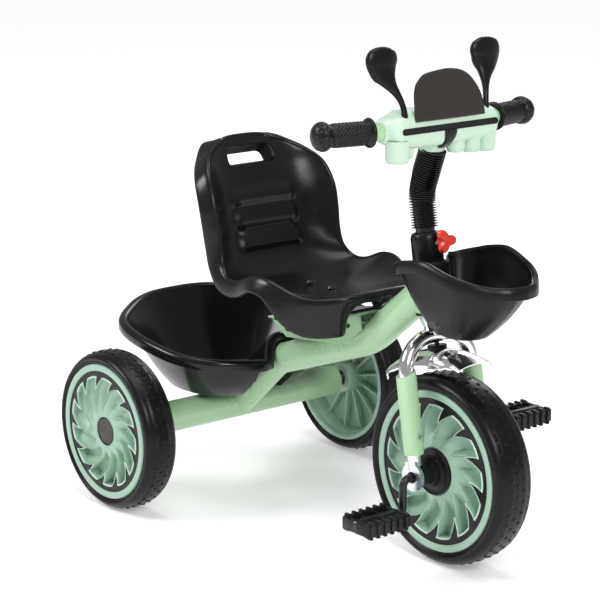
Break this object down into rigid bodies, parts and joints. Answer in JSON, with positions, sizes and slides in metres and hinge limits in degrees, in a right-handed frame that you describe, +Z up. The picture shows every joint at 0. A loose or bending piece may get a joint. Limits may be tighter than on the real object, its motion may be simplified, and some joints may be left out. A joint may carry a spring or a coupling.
{
  "type": "child tricycle",
  "caption": "Child's tricycle with a bucket seat, front and rear baskets, toy dashboard with mirrors, chrome fork and pedals on the front wheel.",
  "frame": {"origin": "ground plane, at the middle of the footprint", "axes": "+X forward, +Y to the rider's left, +Z up"},
  "size_m": [0.723, 0.474, 0.658],
  "materials": {
    "mint_paint": "glossy powder coat",
    "mint_cover": "glossy moulded plastic",
    "black_plastic": "satin moulded plastic",
    "glossy_black": "polished moulded plastic",
    "zinc": "zinc plated",
    "black_steel": "satin black paint",
    "chrome": "polished plating",
    "red_plastic": "moulded plastic",
    "grip_rubber": "soft textured grip",
    "pale_mint": "moulded plastic",
    "smoke_plastic": "dark brown tinted plastic",
    "mirror_face": "polished",
    "wheel_mint": "moulded plastic",
    "tyre": "foam rubber with stud dots"
  },
  "bodies": {
    "frame": {"frame_beam": "mint_paint", "head_tube": "mint_paint", "rear_axle_tube": "mint_paint", "seat_bracket": "mint_paint", "head_bearing_cups": "black_plastic", "rear_axle": "zinc", "axle_tube_bushes": "black_plastic", "rear_axle_nuts": "zinc", "rear_basket": "glossy_black", "rear_basket_screws": "zinc", "front_basket": "black_plastic", "front_basket_screws": "zinc"},
    "seat": {"seat_shell": "black_plastic", "seat_plate": "mint_paint", "seat_screws": "chrome"},
    "seat_lock": {"seat_lock_knob": "black_plastic"},
    "fork": {"fork_tube": "chrome", "steerer_tube": "chrome", "crown_race": "chrome", "fork_cover_left": "mint_cover", "fork_cover_right": "mint_cover", "fork_cover_screws": "zinc", "fork_dropouts": "zinc", "fork_bushes": "black_plastic", "fender": "chrome", "fender_bolt": "black_steel", "clamp_sleeve": "black_plastic"},
    "clamp": {"clamp_knob": "red_plastic", "clamp_screw": "zinc"},
    "handlebar": {"handlebar_post": "black_steel", "post_hose": "black_plastic", "handlebar_tube": "mint_paint", "grip_left": "grip_rubber", "grip_right": "grip_rubber", "console_front": "pale_mint", "console_rear": "pale_mint", "console_strip": "black_plastic", "strap_clip": "black_plastic", "visor": "smoke_plastic"},
    "left_mirror": {"mirror_left": "black_plastic", "mirror_glass_left": "mirror_face"},
    "right_mirror": {"mirror_right": "black_plastic", "mirror_glass_right": "mirror_face"},
    "front_wheel": {"front_rim": "wheel_mint", "front_tyre": "tyre", "front_trims": "black_plastic", "front_hub_caps": "black_plastic", "crank": "black_steel", "pedal_nuts": "zinc"},
    "left_pedal": {"pedal_left": "black_plastic"},
    "right_pedal": {"pedal_right": "black_plastic"},
    "left_rear_wheel": {"rear_rim_left": "wheel_mint", "rear_tyre_left": "tyre", "rear_trim_left": "black_plastic", "rear_cap_left": "smoke_plastic"},
    "right_rear_wheel": {"rear_rim_right": "wheel_mint", "rear_tyre_right": "tyre", "rear_trim_right": "black_plastic", "rear_cap_right": "smoke_plastic"}
  },
  "joints": [
    {"name": "steering", "type": "hinge", "parent": "frame", "child": "fork", "pos_m": [0.23651, 0, 0.125], "axis": [-0.1736, 0, 0.9848], "range_deg": [-35, 35]},
    {"name": "handlebar_height", "type": "slide", "parent": "fork", "child": "handlebar", "axis": [-0.1736, 0, 0.9848], "range_m": [-0.004, 0.04]},
    {"name": "clamp_knob_turn", "type": "hinge", "parent": "fork", "child": "clamp", "pos_m": [0.2133, 0, 0.41437], "axis": [0.9848, 0, 0.1736], "range_deg": [0, 360]},
    {"name": "mirror_left_turn", "type": "hinge", "parent": "handlebar", "child": "left_mirror", "pos_m": [0.21704, 0.068, 0.58196], "axis": [0, 0, 1], "range_deg": [-40, 40]},
    {"name": "mirror_right_turn", "type": "hinge", "parent": "handlebar", "child": "right_mirror", "pos_m": [0.21704, -0.068, 0.58196], "axis": [0, 0, 1], "range_deg": [-40, 40]},
    {"name": "front_wheel_spin", "type": "hinge", "parent": "fork", "child": "front_wheel", "pos_m": [0.23651, 0, 0.125], "axis": [0, 1, 0], "continuous": true},
    {"name": "pedal_left_spin", "type": "hinge", "parent": "front_wheel", "child": "left_pedal", "pos_m": [0.23651, 0.124, 0.17], "axis": [0, 1, 0], "continuous": true},
    {"name": "pedal_right_spin", "type": "hinge", "parent": "front_wheel", "child": "right_pedal", "pos_m": [0.23651, -0.124, 0.08], "axis": [0, 1, 0], "continuous": true},
    {"name": "rear_wheel_left_spin", "type": "hinge", "parent": "frame", "child": "left_rear_wheel", "pos_m": [-0.20349, 0.212, 0.111], "axis": [0, 1, 0], "continuous": true},
    {"name": "rear_wheel_right_spin", "type": "hinge", "parent": "frame", "child": "right_rear_wheel", "pos_m": [-0.20349, -0.212, 0.111], "axis": [0, 1, 0], "continuous": true},
    {"name": "seat_slide", "type": "slide", "parent": "frame", "child": "seat", "axis": [0.9781, 0, 0.2079], "range_m": [-0.015, 0.02]},
    {"name": "seat_lock_turn", "type": "hinge", "parent": "frame", "child": "seat_lock", "pos_m": [-0.04293, -0.03, 0.26065], "axis": [0, 1, 0], "range_deg": [0, 360]}
  ]
}
